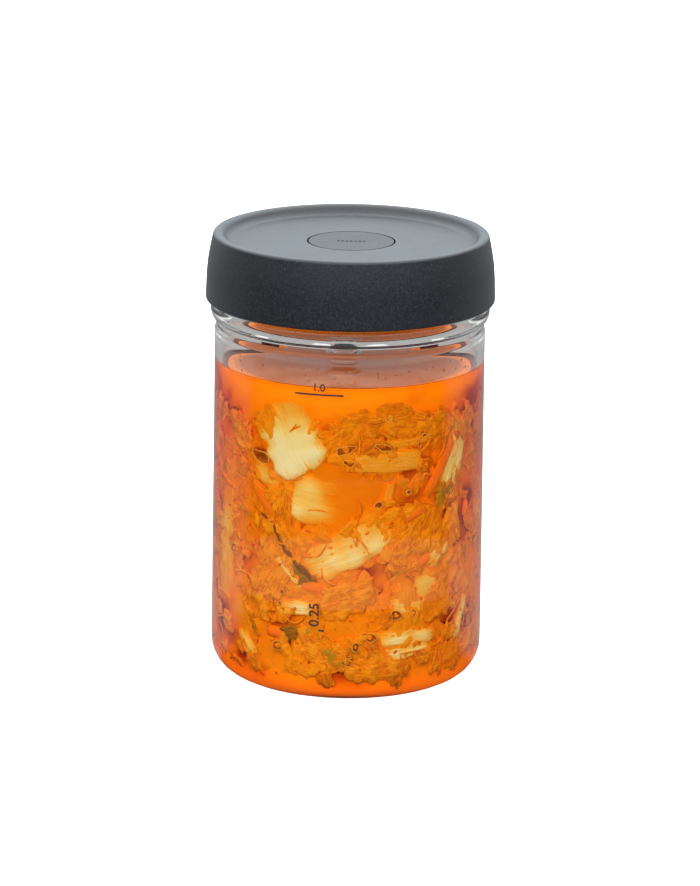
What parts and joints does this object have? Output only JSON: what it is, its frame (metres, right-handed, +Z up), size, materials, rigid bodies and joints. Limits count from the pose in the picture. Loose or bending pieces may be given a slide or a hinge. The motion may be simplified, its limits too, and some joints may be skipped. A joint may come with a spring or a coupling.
{
  "type": "fermentation jar",
  "caption": "Shut one litre glass fermentation jar with a grey push-on lid, a steel valve stem and cabbage pieces packed in orange brine.",
  "frame": {"origin": "middle of the flat base, where the jar stands", "axes": "+Z up along the jar's axis of symmetry; -Y is the side with the fill line"},
  "size_m": [0.1146, 0.1146, 0.1788],
  "materials": {
    "clear_glass": "clear, polished",
    "grey_plastic": "satin anthracite, fine grain",
    "insert_plastic": "satin anthracite",
    "stem_steel": "polished stainless steel",
    "cabbage": "wet, fermented cabbage in brine"
  },
  "bodies": {
    "root": {"glass_jar": "clear_glass", "lid": "grey_plastic", "lid_insert": "insert_plastic", "lid_stem": "stem_steel", "kimchi": "cabbage"}
  },
  "joints": []
}
